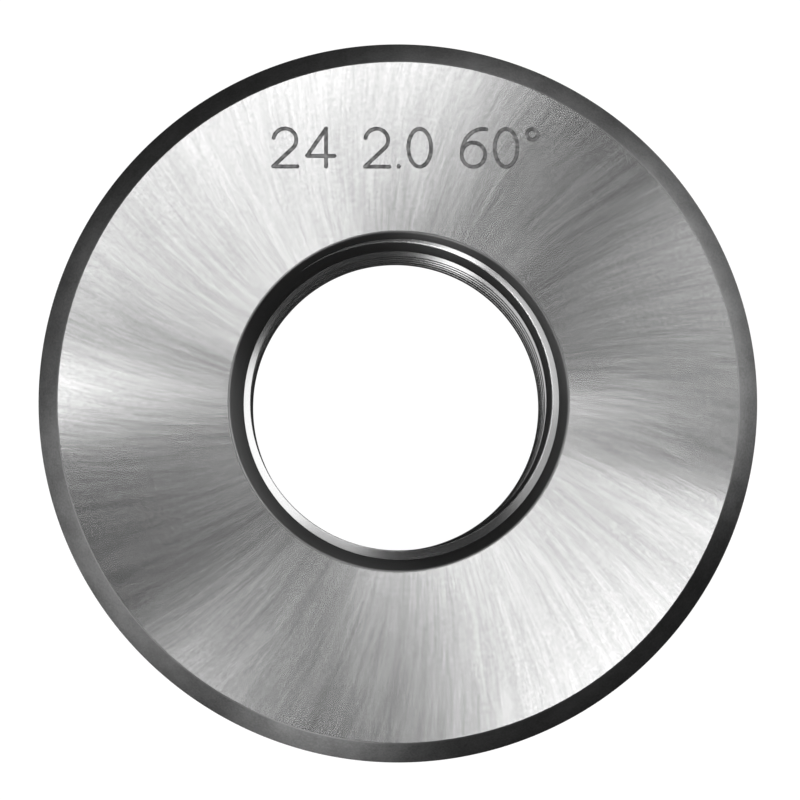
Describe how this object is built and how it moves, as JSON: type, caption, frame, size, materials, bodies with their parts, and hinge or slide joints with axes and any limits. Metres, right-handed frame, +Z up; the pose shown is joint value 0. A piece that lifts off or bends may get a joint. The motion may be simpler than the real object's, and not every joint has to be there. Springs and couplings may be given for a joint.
{
  "type": "thread ring gauge",
  "caption": "Solid thread ring gauge: a thick steel ring with ground faces, chamfered rims and a right-hand threaded bore, screwed on to check external threads.",
  "frame": {"origin": "centre of the lower face, on the axis of the thread", "axes": "+Z up along the axis of the thread; +Y from the axis towards the marking on the upper face; +X to the right of the marking as it is read"},
  "size_m": [0.053, 0.053, 0.016],
  "materials": {
    "gauge_steel": "hardened tool steel, ground bright on both faces, lapped in the thread, blackened on the rim and its chamfers"
  },
  "bodies": {
    "root": {"gauge_ring": "gauge_steel"}
  },
  "joints": []
}
